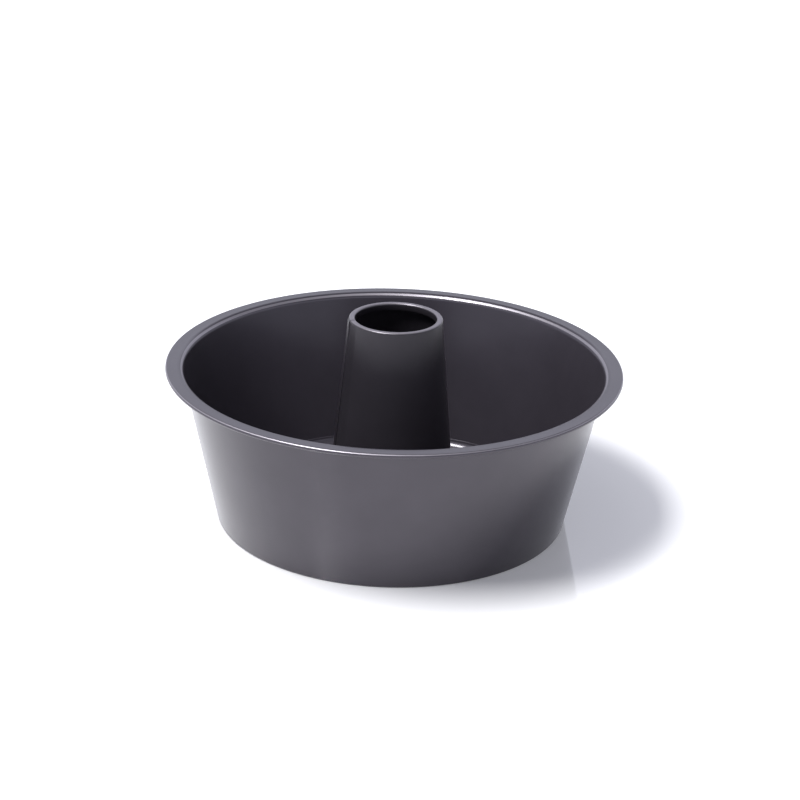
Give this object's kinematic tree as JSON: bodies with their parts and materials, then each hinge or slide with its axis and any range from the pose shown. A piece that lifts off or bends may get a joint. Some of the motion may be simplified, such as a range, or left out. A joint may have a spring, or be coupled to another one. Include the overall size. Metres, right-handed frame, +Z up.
{
  "type": "angel food cake pan",
  "caption": "Flared round tube pan in dark non-stick coated steel, with a flat rolled rim and a lift-out base plate that carries a tall tapered centre tube.",
  "frame": {"origin": "on the pan's axis, at the surface that its foot stands on", "axes": "+Z up along the axis of the pan and its tube; the tube's lapped seam faces 189 degrees from +X, and the picture was taken from the -Y side"},
  "size_m": [0.26, 0.26, 0.1195],
  "materials": {
    "pan_coating": "satin non-stick coating on carbon steel, dark grey",
    "plate_coating": "satin non-stick coating on carbon steel, dark grey",
    "tube_coating": "satin non-stick coating on carbon steel, dark grey"
  },
  "bodies": {
    "pan": {"outer_pan": "pan_coating"},
    "insert": {"base_plate": "plate_coating", "centre_tube": "tube_coating"}
  },
  "joints": [
    {"name": "insert_lift", "type": "slide", "parent": "pan", "child": "insert", "axis": [0, 0, 1], "range_m": [0, 0.11]}
  ]
}
